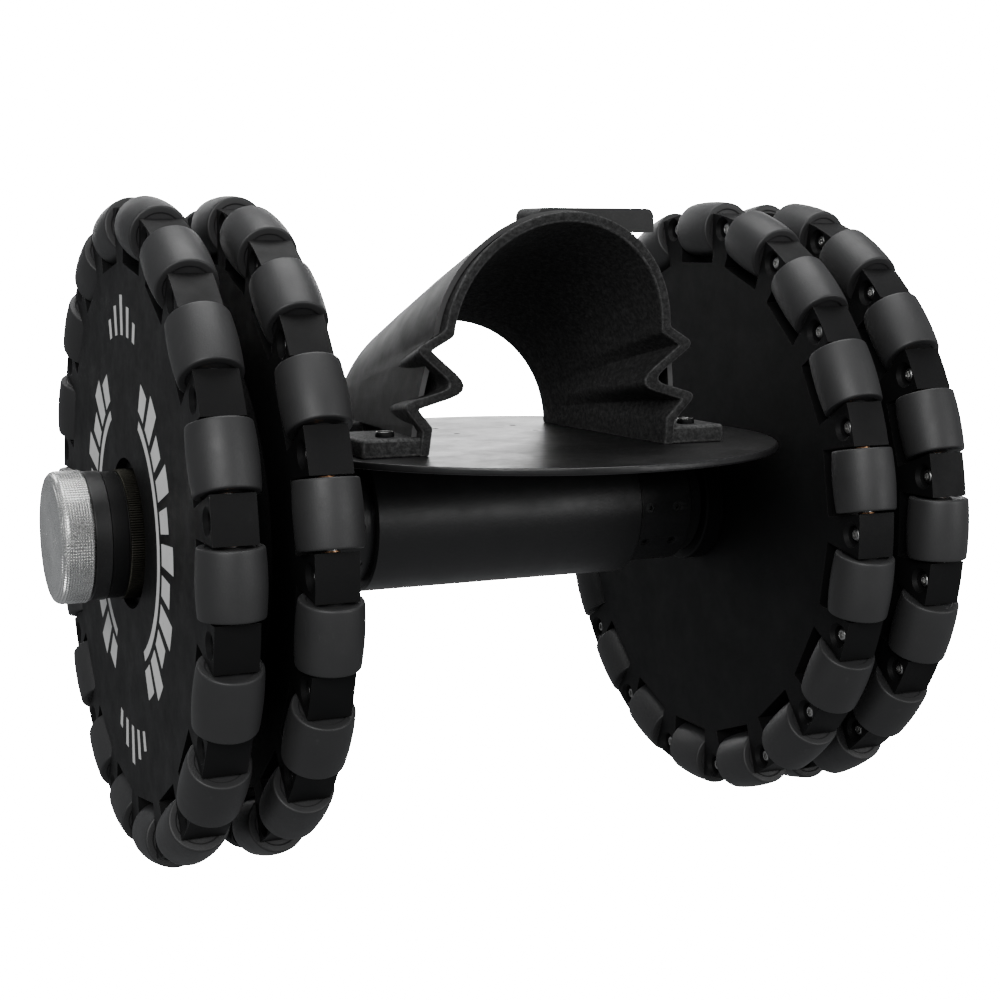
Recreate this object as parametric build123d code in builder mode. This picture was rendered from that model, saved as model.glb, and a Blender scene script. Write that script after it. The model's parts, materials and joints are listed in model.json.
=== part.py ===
from build123d import *
from math import cos, sin, radians, hypot
import os

# Two-wheel omni carriage, millimetres, +Z up, X along the axle, front towards -Y.
# The origin is on the floor, midway along the overall width and depth.

os.makedirs("parts", exist_ok=True)

# Wheels
wheel_radius = 101.5
roller_radius = 9.5
roller_end_radius = 9.0
roller_edge_fillet = 1.1
roller_length = 19.0
roller_end_gap = 0.75
rollers_per_row = 18
roller_pitch = 360 / rollers_per_row
pin_radius = 2.0
pin_bore_clearance = 0.05
pin_depth_in_lug = 3.9
washer_radius = 3.3
washer_thickness = 0.6
disc_width = 12.5
lug_radius = 97.8
notch_floor_radius = 80.8
lug_edge_chamfer = 0.4
inner_row_x = 85.5
outer_row_x = 112.6
lug_screw_circle = 93.5
lug_screw_radius = 1.5
screw_head_radius = 2.2
screw_head_height = 1.6
counterbore_radius = 2.9
counterbore_depth = 3.0
counterbore_mouth = 1.1
socket_size = 2.0
socket_depth = 0.9
drum_radius = 60.0
drum_bore_radius = 30.0
jointed_reach_inner = 60
jointed_reach_outer = 50

# Axle
shaft_radius = 7.5
shaft_end_x = 139.5
bearing_clearance = 0.03
bearing_outer_radius = 16.0
bearing_width = 9.0
hub_lip_radius = 13.0
hub_boss_radius = 21.0
hub_boss_x = 72.4
tube_radius = 23.4
tube_bore_radius = 20.3
tube_end_x = 46.6
tube_chamfer = 0.6
collar_start_x = 34.0
collar_end_x = 67.0
set_screw_rows_x = (51.0, 61.0)
set_screws_per_row = 10
set_screw_start = 1.0
set_screw_radius = 1.6
set_screw_depth = 3.0
set_screw_recess = 0.3
spacer_radius = 18.0
spacer_end_x = 72.0

# Outer hub stack, standing in a recess of the outer disc
hub_recess_depth = 3.2
hub_recess_radius = 23.0
hub_nut_bore_radius = 8.5
serration_radius = 19.7
serration_end_x = 122.0
serration_count = 48
serration_size = 1.1
hub_band_radius = 19.2
thrust_collar_start_x = 127.2
thrust_collar_radius = 19.5
knob_start_x = 132.2
knob_end_x = 142.0
knob_radius = 20.0
knob_outer_chamfer = 2.0
knob_inner_chamfer = 0.4
knob_bore_radius = 7.55
knob_bore_end_x = 140.6
knurl_count = 48
knurl_size = 0.9

# Deck
deck_radius = 78.2
deck_thickness = 2.1
deck_top_above_axle = 26.8
deck_behind_axle = -31.0
deck_edge_fillet = 0.6
mount_length = 44.0
mount_width = 30.0
mount_corner = 3.0
mount_bottom_above_axle = 15.0
deck_screw_spacing = (28.0, 18.0)
deck_screw_radius = 1.5
deck_screw_head_radius = 3.0
deck_screw_head_height = 1.5
deck_screw_bottom_above_axle = 19.0

# Saddle
saddle_x = -7.4
saddle_front_from_axle = -64.4
saddle_length = 78.4
saddle_lean = 10.8
liner_thickness = 3.0
shell_gap = 0.3
shell_thickness = 1.6
shell_set_back = 4.0
shell_foot_height = 5.4
tab_inner = 39.0
tab_outer = 59.0
tab_depth = 26.0
saddle_screw_offset = 49.5
saddle_screw_inset = 7.0
saddle_screw_radius = 1.6
saddle_screw_head_radius = 2.9
saddle_screw_head_height = 2.2
pad_left = -8.0
pad_right = 29.5
pad_front_inset = -7.5
pad_depth = 15.0
pad_top_height = 70.4
pad_bottom_height = 63.5
pad_fillet = 2.5

# Where the axle and the deck stand in the frame
axle_z = wheel_radius
overall_front = deck_radius - deck_behind_axle
axle_y = (overall_front - wheel_radius) / 2
deck_y = axle_y + deck_behind_axle
deck_top_z = axle_z + deck_top_above_axle
deck_bottom_z = deck_top_z - deck_thickness
saddle_front_y = axle_y + saddle_front_from_axle
pin_circle_radius = wheel_radius - roller_radius
notch_width = roller_length + 2 * roller_end_gap

axle_axis = Axis((0, axle_y, axle_z), (1, 0, 0))
axle_plane = Plane(origin=(0, axle_y, axle_z), x_dir=(1, 0, 0), z_dir=(0, -1, 0))


def wheel_plane(x):
    """Plane square to the axle at x, with angles counted from the front up."""
    return Plane(origin=(x, axle_y, axle_z), x_dir=(0, -1, 0), z_dir=(-1, 0, 0))


def pin_plane(x, degrees_up):
    """Plane on a roller's centre, with its own X along the roller's pin."""
    c = cos(radians(degrees_up))
    s = sin(radians(degrees_up))
    origin = (x, axle_y - pin_circle_radius * c, axle_z + pin_circle_radius * s)
    return Plane(origin=origin, x_dir=(0, s, c), z_dir=(1, 0, 0))


def turn(points):
    """Turns a closed outline of (x, radius) points about the axle."""
    with BuildSketch(axle_plane) as outline:
        with BuildLine():
            Polyline(*points, close=True)
        make_face()
    revolve(outline.sketch, axis=axle_axis)


def ring_points(side, start, end, inner, outer, edge=0.0):
    """Outline of a ring between two distances from the middle, with chamfered outer edges."""
    return [
        (side * start, inner),
        (side * end, inner),
        (side * end, outer - edge),
        (side * (end - edge), outer),
        (side * (start + edge), outer),
        (side * start, outer - edge),
    ]


def plain_ring_points(side, start, end, inner, outer):
    return [(side * start, inner), (side * end, inner), (side * end, outer), (side * start, outer)]


# Rollers: barrel-shaped, one master for the free ones and one for those kept still
def turn_roller(bore_radius):
    half = roller_length / 2
    with BuildSketch(Plane.XY) as outline:
        with BuildLine():
            Polyline((-half, roller_end_radius), (-half, bore_radius), (half, bore_radius), (half, roller_end_radius))
            ThreePointArc((half, roller_end_radius), (0, roller_radius), (-half, roller_end_radius))
        make_face()
        fillet(outline.vertices().group_by(Axis.Y)[-1], roller_edge_fillet)
    revolve(outline.sketch, axis=Axis.X)


with BuildPart() as free_roller:
    turn_roller(pin_radius + pin_bore_clearance)

with BuildPart() as still_roller:
    turn_roller(pin_radius)


def roller_angles(row):
    start = -90 if row == "inner" else -80
    return [start + index * roller_pitch for index in range(rollers_per_row)]


def is_free(row, angle):
    reach = jointed_reach_inner if row == "inner" else jointed_reach_outer
    from_bottom = abs((angle + 90 + 180) % 360 - 180)
    return from_bottom <= reach + 1


# Discs with their lugs
def add_disc_blank(x, row):
    with BuildSketch(wheel_plane(x)) as blank:
        Circle(lug_radius)
        notch_length = lug_radius + 5 - notch_floor_radius
        middle = notch_floor_radius + notch_length / 2
        with PolarLocations(middle, rollers_per_row, start_angle=roller_angles(row)[0]):
            Rectangle(notch_length, notch_width, mode=Mode.SUBTRACT)
    extrude(blank.sketch, amount=disc_width / 2, both=True)


def cut_lug_holes(x, row):
    lug_start = roller_angles(row)[0] + roller_pitch / 2
    with BuildSketch(wheel_plane(x)) as screw_holes:
        with PolarLocations(lug_screw_circle, rollers_per_row, start_angle=lug_start):
            Circle(lug_screw_radius)
    extrude(screw_holes.sketch, amount=disc_width / 2, both=True, mode=Mode.SUBTRACT)
    for face_side in (-1, 1):
        face_x = x + face_side * (disc_width / 2 - counterbore_depth / 2)
        with BuildSketch(wheel_plane(face_x)) as counterbores:
            with PolarLocations(lug_screw_circle, rollers_per_row, start_angle=lug_start):
                Circle(counterbore_radius)
        extrude(counterbores.sketch, amount=counterbore_depth / 2, both=True, mode=Mode.SUBTRACT)
        mouth_x = x + face_side * disc_width / 2
        with BuildSketch(wheel_plane(mouth_x)) as mouths:
            with PolarLocations(lug_screw_circle, rollers_per_row, start_angle=lug_start):
                Circle(counterbore_radius + counterbore_mouth)
        extrude(mouths.sketch, amount=face_side * counterbore_mouth, taper=45, mode=Mode.SUBTRACT)
    with Locations(*[pin_plane(x, angle) for angle in roller_angles(row)]):
        pin_length = notch_width + 2 * pin_depth_in_lug
        Cylinder(pin_radius, pin_length, rotation=(0, 90, 0), mode=Mode.SUBTRACT)


def bore_disc(side, bearing_start, bearing_end, lip_start, lip_end):
    with BuildSketch(axle_plane) as bores:
        with BuildLine():
            Polyline(
                *plain_ring_points(side, bearing_start, bearing_end, 0, bearing_outer_radius), close=True
            )
        make_face()
        with BuildLine():
            Polyline(*plain_ring_points(side, lip_start, lip_end, 0, hub_lip_radius), close=True)
        make_face()
    revolve(bores.sketch, axis=axle_axis, mode=Mode.SUBTRACT)


def make_wheel(side, name):
    inner_x = side * inner_row_x
    outer_x = side * outer_row_x
    inner_near = inner_row_x - disc_width / 2
    inner_far = inner_row_x + disc_width / 2
    outer_near = outer_row_x - disc_width / 2
    outer_far = outer_row_x + disc_width / 2
    seat_x = outer_far - hub_recess_depth
    rows = (("inner", inner_x), ("outer", outer_x))

    with BuildPart() as inner_disc:
        add_disc_blank(inner_x, "inner")
        turn(ring_points(side, hub_boss_x, inner_near, hub_lip_radius, hub_boss_radius, 0.5))
        cut_lug_holes(inner_x, "inner")
        bore_disc(side, inner_far - bearing_width, inner_far, hub_boss_x, inner_far)
    inner_disc.part.label = "inner_disc_" + name
    export_step(inner_disc.part, f"parts/inner_disc_{name}.step")

    with BuildPart() as outer_disc:
        add_disc_blank(outer_x, "outer")
        cut_lug_holes(outer_x, "outer")
        bore_disc(side, seat_x - bearing_width, seat_x, outer_near, outer_far)
        with BuildSketch(wheel_plane(side * (seat_x + outer_far) / 2)) as recess:
            Circle(hub_recess_radius)
        extrude(recess.sketch, amount=hub_recess_depth / 2, both=True, mode=Mode.SUBTRACT)
    outer_disc.part.label = "outer_disc_" + name
    export_step(outer_disc.part, f"parts/outer_disc_{name}.step")

    with BuildPart() as drum:
        turn(plain_ring_points(side, inner_far, outer_near, drum_bore_radius, drum_radius))
    drum.part.label = "drum_" + name
    export_step(drum.part, f"parts/drum_{name}.step")

    with BuildPart() as hub_bearings:
        bore = shaft_radius + bearing_clearance
        turn(plain_ring_points(side, inner_far - bearing_width, inner_far, bore, bearing_outer_radius))
        turn(plain_ring_points(side, seat_x - bearing_width, seat_x, bore, bearing_outer_radius))
    hub_bearings.part.label = "hub_bearings_" + name
    export_step(hub_bearings.part, f"parts/hub_bearings_{name}.step")

    with BuildPart() as roller_pins:
        pin_length = notch_width + 2 * pin_depth_in_lug
        for row, row_x in rows:
            with Locations(*[pin_plane(row_x, angle) for angle in roller_angles(row)]):
                Cylinder(pin_radius, pin_length, rotation=(0, 90, 0))
    roller_pins.part.label = "roller_pins_" + name
    export_step(roller_pins.part, f"parts/roller_pins_{name}.step")

    with BuildPart() as washer_pair:
        for end in (-1, 1):
            washer_middle = end * (notch_width - washer_thickness) / 2
            with BuildSketch(Plane.YZ.offset(washer_middle)):
                Circle(washer_radius)
                Circle(pin_radius, mode=Mode.SUBTRACT)
            extrude(amount=washer_thickness / 2, both=True)

    with BuildPart() as roller_washers:
        for row, row_x in rows:
            with Locations(*[pin_plane(row_x, angle) for angle in roller_angles(row)]):
                add(washer_pair.part)
    roller_washers.part.label = "roller_washers_" + name
    export_step(roller_washers.part, f"parts/roller_washers_{name}.step")

    with BuildPart() as lug_screws:
        for row, row_x in rows:
            lug_start = roller_angles(row)[0] + roller_pitch / 2
            with BuildSketch(wheel_plane(row_x)):
                with PolarLocations(lug_screw_circle, rollers_per_row, start_angle=lug_start):
                    Circle(lug_screw_radius)
            extrude(amount=disc_width / 2 - counterbore_depth, both=True)
            for face_side in (-1, 1):
                head_middle = disc_width / 2 - counterbore_depth + screw_head_height / 2
                with BuildSketch(wheel_plane(row_x + face_side * head_middle)):
                    with PolarLocations(lug_screw_circle, rollers_per_row, start_angle=lug_start):
                        Circle(screw_head_radius)
                extrude(amount=screw_head_height / 2, both=True)
    lug_screws.part.label = "lug_screws_" + name
    export_step(lug_screws.part, f"parts/lug_screws_{name}.step")

    with BuildPart() as hub_nut:
        nut_profile = ring_points(side, seat_x, serration_end_x, hub_nut_bore_radius, serration_radius, 0.4)
        turn(nut_profile)
        turn(
            ring_points(
                side, serration_end_x, thrust_collar_start_x, hub_nut_bore_radius, hub_band_radius, 0.3
            )
        )
        serration_middle = (seat_x + serration_end_x) / 2
        with BuildSketch(wheel_plane(side * serration_middle)):
            with PolarLocations(serration_radius, serration_count):
                Rectangle(serration_size, serration_size, rotation=45)
        extrude(amount=(serration_end_x - seat_x) / 2, both=True, mode=Mode.SUBTRACT)
    hub_nut.part.label = "hub_nut_" + name
    export_step(hub_nut.part, f"parts/hub_nut_{name}.step")

    still_places = []
    for row, row_x in rows:
        free_count = 0
        for angle in roller_angles(row):
            if is_free(row, angle):
                free_count += 1
                label = f"roller_{name}_{row}_{free_count}"
                with BuildPart() as roller:
                    with Locations(pin_plane(row_x, angle)):
                        add(free_roller.part)
                roller.part.label = label
                export_step(roller.part, f"parts/{label}.step")
            else:
                still_places.append(pin_plane(row_x, angle))
    with BuildPart() as still_rollers:
        with Locations(*still_places):
            add(still_roller.part)
    still_rollers.part.label = "still_rollers_" + name
    export_step(still_rollers.part, f"parts/still_rollers_{name}.step")


def make_clamp(side, name):
    """Thrust collar and knurled hand knob on one end of the shaft."""
    with BuildPart() as thrust_collar:
        turn(
            ring_points(
                side, thrust_collar_start_x, knob_start_x, knob_bore_radius, thrust_collar_radius, 0.3
            )
        )
    thrust_collar.part.label = "thrust_collar_" + name
    export_step(thrust_collar.part, f"parts/thrust_collar_{name}.step")

    with BuildPart() as knob:
        turn(
            [
                (side * knob_start_x, knob_bore_radius),
                (side * knob_bore_end_x, knob_bore_radius),
                (side * knob_bore_end_x, 0),
                (side * knob_end_x, 0),
                (side * knob_end_x, knob_radius - knob_outer_chamfer),
                (side * (knob_end_x - knob_outer_chamfer), knob_radius),
                (side * (knob_start_x + knob_inner_chamfer), knob_radius),
                (side * knob_start_x, knob_radius - knob_inner_chamfer),
            ]
        )
        with BuildSketch(wheel_plane(side * (knob_start_x + knob_end_x) / 2)):
            with PolarLocations(knob_radius, knurl_count):
                Rectangle(knurl_size, knurl_size, rotation=45)
        extrude(amount=(knob_end_x - knob_start_x) / 2, both=True, mode=Mode.SUBTRACT)
    knob.part.label = "knob_" + name
    export_step(knob.part, f"parts/knob_{name}.step")


for wheel_side, side_name in ((-1, "left"), (1, "right")):
    make_wheel(wheel_side, side_name)
    make_clamp(wheel_side, side_name)


# Fixed axle
with BuildPart() as axle_shaft:
    turn(
        [
            (-shaft_end_x, 0),
            (shaft_end_x, 0),
            (shaft_end_x, shaft_radius - 0.6),
            (shaft_end_x - 0.6, shaft_radius),
            (-shaft_end_x + 0.6, shaft_radius),
            (-shaft_end_x, shaft_radius - 0.6),
        ]
    )
axle_shaft.part.label = "axle_shaft"
export_step(axle_shaft.part, "parts/axle_shaft.step")

deck_screw_places = [
    (x_side * deck_screw_spacing[0] / 2, axle_y + y_side * deck_screw_spacing[1] / 2)
    for x_side in (-1, 1)
    for y_side in (-1, 1)
]
screw_bottom_z = axle_z + deck_screw_bottom_above_axle
deck_head_places = [(x, y, deck_top_z) for x, y in deck_screw_places]
deck_top_plane = Plane.XY.offset(deck_top_z)

with BuildPart() as axle_tube:
    turn(
        [
            (-tube_end_x, tube_bore_radius),
            (tube_end_x, tube_bore_radius),
            (tube_end_x, tube_radius - tube_chamfer),
            (tube_end_x - tube_chamfer, tube_radius),
            (-tube_end_x + tube_chamfer, tube_radius),
            (-tube_end_x, tube_radius - tube_chamfer),
        ]
    )
    with BuildSketch(deck_top_plane):
        with Locations(*deck_screw_places):
            Circle(deck_screw_radius)
    extrude(amount=-(deck_top_z - screw_bottom_z), mode=Mode.SUBTRACT)
axle_tube.part.label = "axle_tube"
export_step(axle_tube.part, "parts/axle_tube.step")


def set_screw_planes(side):
    """Planes on the end collar's surface at each set screw, facing outwards."""
    planes = []
    for row_x in set_screw_rows_x:
        for index in range(set_screws_per_row):
            angle = radians(set_screw_start + index * 360 / set_screws_per_row)
            out = (0, -cos(angle), sin(angle))
            origin = (
                side * row_x,
                axle_y + tube_bore_radius * out[1],
                axle_z + tube_bore_radius * out[2],
            )
            planes.append(Plane(origin=origin, x_dir=(1, 0, 0), z_dir=out))
    return planes


with BuildPart() as end_collars:
    for collar_side in (-1, 1):
        turn(ring_points(collar_side, collar_start_x, collar_end_x, shaft_radius, tube_bore_radius, 0.5))
        with Locations(*set_screw_planes(collar_side)):
            Cylinder(set_screw_radius, 2 * set_screw_depth, mode=Mode.SUBTRACT)
end_collars.part.label = "end_collars"
export_step(end_collars.part, "parts/end_collars.step")

with BuildPart() as set_screws:
    screw_length = set_screw_depth - set_screw_recess
    low = Align.MAX
    for collar_side in (-1, 1):
        with Locations(*[plane.offset(-set_screw_recess) for plane in set_screw_planes(collar_side)]):
            Cylinder(set_screw_radius, screw_length, align=(Align.CENTER, Align.CENTER, low))
            Cylinder(set_screw_radius / 2, 2 * socket_depth, mode=Mode.SUBTRACT)
set_screws.part.label = "set_screws"
export_step(set_screws.part, "parts/set_screws.step")

with BuildPart() as hub_spacers:
    for spacer_side in (-1, 1):
        turn(ring_points(spacer_side, collar_end_x, spacer_end_x, shaft_radius, spacer_radius, 0.4))
hub_spacers.part.label = "hub_spacers"
export_step(hub_spacers.part, "parts/hub_spacers.step")

# Deck and its mount on the tube
with BuildPart() as deck_mount:
    with BuildSketch(deck_top_plane.offset(-deck_thickness)):
        with Locations((0, axle_y)):
            RectangleRounded(mount_length, mount_width, mount_corner)
        with Locations(*deck_screw_places):
            Circle(deck_screw_radius, mode=Mode.SUBTRACT)
    extrude(amount=-(deck_bottom_z - axle_z - mount_bottom_above_axle))
    with BuildSketch(axle_plane):
        with BuildLine():
            Polyline(*plain_ring_points(1, -mount_length, mount_length, 0, tube_radius), close=True)
        make_face()
    revolve(axis=axle_axis, mode=Mode.SUBTRACT)
deck_mount.part.label = "deck_mount"
export_step(deck_mount.part, "parts/deck_mount.step")

saddle_screw_places = [
    (saddle_x + side * saddle_screw_offset, saddle_front_y + inset)
    for side in (-1, 1)
    for inset in (saddle_screw_inset, saddle_length - saddle_screw_inset)
]

with BuildPart() as deck_plate:
    with BuildSketch(Plane.XY.offset(deck_bottom_z)):
        with Locations((0, deck_y)):
            Circle(deck_radius)
    extrude(amount=deck_thickness)
    fillet(deck_plate.edges(), deck_edge_fillet)
    with BuildSketch(Plane.XY.offset(deck_bottom_z)):
        with Locations(*saddle_screw_places):
            Circle(saddle_screw_radius)
    extrude(amount=deck_thickness, mode=Mode.SUBTRACT)
    with Locations(*deck_head_places):
        Cone(
            deck_screw_radius,
            deck_screw_head_radius,
            deck_screw_head_height,
            align=(Align.CENTER, Align.CENTER, Align.MAX),
            mode=Mode.SUBTRACT,
        )
        Cylinder(deck_screw_radius, 3 * deck_thickness, mode=Mode.SUBTRACT)
deck_plate.part.label = "deck_plate"
export_step(deck_plate.part, "parts/deck_plate.step")

with BuildPart() as deck_screws:
    shank_top = deck_top_z - deck_screw_head_height
    with Locations(*deck_head_places):
        Cone(
            deck_screw_radius,
            deck_screw_head_radius,
            deck_screw_head_height,
            align=(Align.CENTER, Align.CENTER, Align.MAX),
        )
    with BuildSketch(Plane.XY.offset(screw_bottom_z)):
        with Locations(*deck_screw_places):
            Circle(deck_screw_radius)
    extrude(amount=shank_top - screw_bottom_z)
    with BuildSketch(deck_top_plane):
        with Locations(*deck_screw_places):
            RegularPolygon(socket_size / 2, 6, major_radius=False)
    extrude(amount=-socket_depth, mode=Mode.SUBTRACT)
deck_screws.part.label = "deck_screws"
export_step(deck_screws.part, "parts/deck_screws.step")


# Saddle: half outlines from the foot up, across and height above the deck
front_wall_plain = [(38.5, 0), (38.0, 8.3), (37.2, 14.0), (36.4, 19.7), (34.4, 31.0), (33.2, 35.0)]
outward_folds = {2: (42.8, 14.0), 4: (40.0, 31.0)}
inward_folds = {3: (27.2, 19.2)}
front_crown_height = 67.6
back_radius = 35.0
back_wall_angles = [0, 5, 9, 13, 19, 23]
back_wall = [(back_radius * cos(radians(a)), back_radius * sin(radians(a))) for a in back_wall_angles]
back_crown_height = back_radius
# Distance behind the front rim, and how much of the outward and inward folds is left there
pleat_stages = [
    (0.0, 1.0, 1.0),
    (shell_set_back, 0.88, 0.93),
    (34.0, 0.0, 0.43),
    (60.0, 0.0, 0.0),
    (saddle_length, 0.0, 0.0),
]


def blend(first, second, amount):
    return tuple(a + (b - a) * amount for a, b in zip(first, second))


def wall_at(distance, outward, inward):
    """Points of one side wall at a distance behind the front rim, with shares of its folds."""
    front = list(front_wall_plain)
    for index, tip in outward_folds.items():
        front[index] = blend(front[index], tip, outward)
    for index, tip in inward_folds.items():
        front[index] = blend(front[index], tip, inward)
    return [blend(a, b, distance / saddle_length) for a, b in zip(front, back_wall)]


def crown_at(distance):
    return front_crown_height + (back_crown_height - front_crown_height) * distance / saddle_length


def unit(start, end):
    length = hypot(end[0] - start[0], end[1] - start[1])
    return ((end[0] - start[0]) / length, (end[1] - start[1]) / length)


def offset_wall(wall, crown, gap):
    """Moves a wall outwards by a gap, keeping its corners sharp and its foot on the deck."""
    if gap == 0:
        return wall
    rise = crown - wall[-1][1]
    arc_radius = (wall[-1][0] ** 2 + rise**2) / (2 * rise)
    lean = (rise - arc_radius) / arc_radius
    directions = [unit(a, b) for a, b in zip(wall, wall[1:])]
    directions.append((lean, (1 - lean**2) ** 0.5))
    moved = [(wall[0][0] + gap / directions[0][1], 0)]
    for point, before, after in zip(wall[1:], directions, directions[1:]):
        normal = (before[1] + after[1], -before[0] - after[0])
        reach = gap / (normal[0] * before[1] - normal[1] * before[0])
        moved.append((point[0] + normal[0] * reach, point[1] + normal[1] * reach))
    return moved


def section_plane(distance):
    tilt = radians(saddle_lean * (1 - distance / saddle_length))
    return Plane(
        origin=(saddle_x, saddle_front_y + distance, deck_top_z),
        x_dir=(1, 0, 0),
        z_dir=(0, -cos(tilt), -sin(tilt)),
    )


def mirrored(wall):
    return [(-x, z) for x, z in wall]


def saddle_section(distance, outward, inward, inner_gap, outer_gap):
    """Sketches the band between two offsets of the saddle's inside at one distance."""
    wall = wall_at(distance, outward, inward)
    crown = crown_at(distance)
    inner = offset_wall(wall, crown, inner_gap)
    outer = offset_wall(wall, crown, outer_gap)
    with BuildSketch(section_plane(distance)) as section:
        with BuildLine():
            Polyline(*inner)
            ThreePointArc(inner[-1], (0, crown + inner_gap), mirrored(inner)[-1])
            Polyline(*mirrored(inner))
            Line(mirrored(inner)[0], mirrored(outer)[0])
            Polyline(*mirrored(outer))
            ThreePointArc(mirrored(outer)[-1], (0, crown + outer_gap), outer[-1])
            Polyline(*outer)
            Line(outer[0], inner[0])
        make_face()
    return section.sketch


def filled_section(distance, outer_gap):
    """Sketches everything inside one offset of the plain saddle at one distance."""
    crown = crown_at(distance)
    wall = offset_wall(wall_at(distance, 0, 0), crown, outer_gap)
    with BuildSketch(section_plane(distance)) as section:
        with BuildLine():
            Polyline(*wall)
            ThreePointArc(wall[-1], (0, crown + outer_gap), mirrored(wall)[-1])
            Polyline(*mirrored(wall))
            Line(mirrored(wall)[0], wall[0])
        make_face()
    return section.sketch


with BuildPart() as saddle_liner:
    for stage, next_stage in zip(pleat_stages, pleat_stages[1:]):
        near = saddle_section(*stage, 0, liner_thickness)
        far = saddle_section(*next_stage, 0, liner_thickness)
        loft([near, far], ruled=True)
    for tab_side in (-1, 1):
        for tab_y in (saddle_front_y, saddle_front_y + saddle_length - tab_depth):
            tab_centre = (saddle_x + tab_side * (tab_inner + tab_outer) / 2, tab_y + tab_depth / 2)
            with BuildSketch(Plane.XY.offset(deck_top_z)):
                with Locations(tab_centre):
                    Rectangle(tab_outer - tab_inner, tab_depth)
            extrude(amount=shell_foot_height)
    with BuildSketch(Plane.XY.offset(deck_top_z)):
        with Locations(*saddle_screw_places):
            Circle(saddle_screw_radius)
    extrude(amount=shell_foot_height, mode=Mode.SUBTRACT)
saddle_liner.part.label = "saddle_liner"
export_step(saddle_liner.part, "parts/saddle_liner.step")

shell_inner_gap = liner_thickness + shell_gap
shell_outer_gap = shell_inner_gap + shell_thickness
slot_clearance = 0.25

with BuildPart() as slotted_shell:
    for stage, next_stage in zip(pleat_stages[1:], pleat_stages[2:]):
        near = saddle_section(stage[0], 0, 0, shell_inner_gap, shell_outer_gap)
        far = saddle_section(next_stage[0], 0, 0, shell_inner_gap, shell_outer_gap)
        loft([near, far], ruled=True)
    near = saddle_section(*pleat_stages[1], -slot_clearance, liner_thickness + slot_clearance)
    far = saddle_section(*pleat_stages[2], -slot_clearance, liner_thickness + slot_clearance)
    loft([near, far], ruled=True, mode=Mode.SUBTRACT)
    with BuildSketch(Plane.XY.offset(deck_top_z)):
        with Locations((saddle_x, saddle_front_y + saddle_length / 2)):
            Rectangle(2 * saddle_length, 2 * saddle_length)
    extrude(amount=shell_foot_height, mode=Mode.SUBTRACT)

# The loose slivers that the slots leave are dropped
with BuildPart() as saddle_shell:
    add(slotted_shell.solids().sort_by(SortBy.VOLUME)[-1])
saddle_shell.part.label = "saddle_shell"
export_step(saddle_shell.part, "parts/saddle_shell.step")

with BuildPart() as saddle_pad:
    pad_centre = (saddle_x + (pad_left + pad_right) / 2, saddle_front_y + pad_front_inset + pad_depth / 2)
    with BuildSketch(Plane.XY.offset(deck_top_z + pad_bottom_height)):
        with Locations(pad_centre):
            Rectangle(pad_right - pad_left, pad_depth)
    extrude(amount=pad_top_height - pad_bottom_height)
    fillet(saddle_pad.edges().filter_by(Axis.Y).group_by(Axis.Z)[-1], pad_fillet)
    for stage, next_stage in zip(pleat_stages, pleat_stages[1:]):
        near = filled_section(stage[0], shell_outer_gap)
        far = filled_section(next_stage[0], shell_outer_gap)
        loft([near, far], ruled=True, mode=Mode.SUBTRACT)
saddle_pad.part.label = "saddle_pad"
export_step(saddle_pad.part, "parts/saddle_pad.step")

with BuildPart() as saddle_screws:
    head_bottom_z = deck_top_z + shell_foot_height
    with BuildSketch(Plane.XY.offset(deck_bottom_z)):
        with Locations(*saddle_screw_places):
            Circle(saddle_screw_radius)
    extrude(amount=head_bottom_z - deck_bottom_z)
    with BuildSketch(Plane.XY.offset(head_bottom_z)):
        with Locations(*saddle_screw_places):
            Circle(saddle_screw_head_radius)
    extrude(amount=saddle_screw_head_height)
    with BuildSketch(Plane.XY.offset(head_bottom_z + saddle_screw_head_height)):
        with Locations(*saddle_screw_places):
            RegularPolygon(socket_size / 2, 6, major_radius=False)
    extrude(amount=-socket_depth, mode=Mode.SUBTRACT)
saddle_screws.part.label = "saddle_screws"
export_step(saddle_screws.part, "parts/saddle_screws.step")
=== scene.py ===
import json
from math import atan2, cos, degrees, hypot, pi, radians, sin

import bmesh
import bpy
from mathutils import Matrix, Vector


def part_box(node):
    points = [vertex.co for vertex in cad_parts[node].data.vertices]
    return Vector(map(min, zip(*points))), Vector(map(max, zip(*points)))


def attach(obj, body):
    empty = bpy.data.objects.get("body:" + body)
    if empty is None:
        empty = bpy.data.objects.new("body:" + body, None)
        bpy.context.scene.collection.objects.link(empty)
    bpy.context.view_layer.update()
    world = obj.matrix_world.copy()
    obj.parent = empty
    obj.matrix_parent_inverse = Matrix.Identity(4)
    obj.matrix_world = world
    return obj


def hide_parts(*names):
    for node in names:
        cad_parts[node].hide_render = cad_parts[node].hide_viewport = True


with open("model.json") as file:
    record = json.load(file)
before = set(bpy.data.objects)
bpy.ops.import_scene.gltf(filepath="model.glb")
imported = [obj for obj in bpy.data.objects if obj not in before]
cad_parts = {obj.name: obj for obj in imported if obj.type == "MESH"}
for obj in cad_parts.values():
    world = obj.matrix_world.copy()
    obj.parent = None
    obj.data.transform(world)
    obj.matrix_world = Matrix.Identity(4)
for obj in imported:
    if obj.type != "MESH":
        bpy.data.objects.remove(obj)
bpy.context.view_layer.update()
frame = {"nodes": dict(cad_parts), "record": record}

# ---------------------------------------------------------------- camera
camera = bpy.data.objects.new("camera", bpy.data.cameras.new("camera"))
bpy.context.scene.collection.objects.link(camera)
camera.location = (-0.2385, -0.53545, 0.1872)
camera.rotation_euler = Vector((0.4080, 0.9025, -0.1383)).to_track_quat("-Z", "Y").to_euler()
camera.data.sensor_width = 36
camera.data.lens = 64.9
bpy.context.scene.camera = camera

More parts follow.
